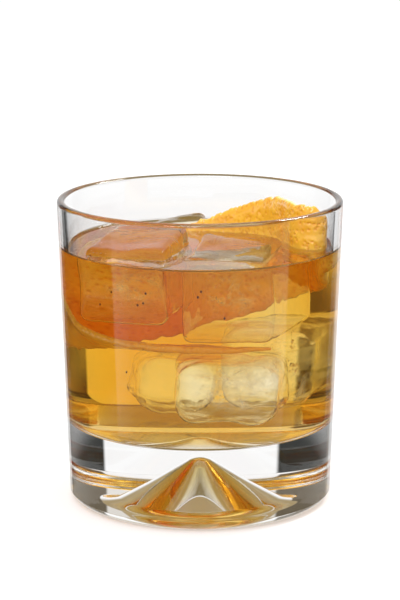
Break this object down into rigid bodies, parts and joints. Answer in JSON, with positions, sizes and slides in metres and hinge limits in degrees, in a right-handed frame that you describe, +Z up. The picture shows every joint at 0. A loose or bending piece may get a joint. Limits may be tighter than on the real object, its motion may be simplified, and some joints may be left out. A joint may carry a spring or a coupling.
{
  "type": "old fashioned cocktail",
  "caption": "Old fashioned in a thick-based tumbler with a conical kick: amber drink, large ice cubes and a wide strip of orange peel curling above the surface.",
  "frame": {"origin": "middle of the foot, on the surface that the glass stands on", "axes": "+Z up along the glass's axis, -Y towards the side the drink is seen from, +X to its right, where the peel stands highest"},
  "size_m": [0.0884, 0.0884, 0.095],
  "materials": {
    "clear_glass": "polished clear glass",
    "amber_drink": "clear amber liquid",
    "ice": "wet, slightly cloudy ice",
    "orange_zest": "wet pored citrus zest with a pale pith"
  },
  "bodies": {
    "root": {"glass": "clear_glass", "drink": "amber_drink", "ice_left": "ice", "ice_middle": "ice", "ice_back": "ice", "orange_peel": "orange_zest"}
  },
  "joints": []
}
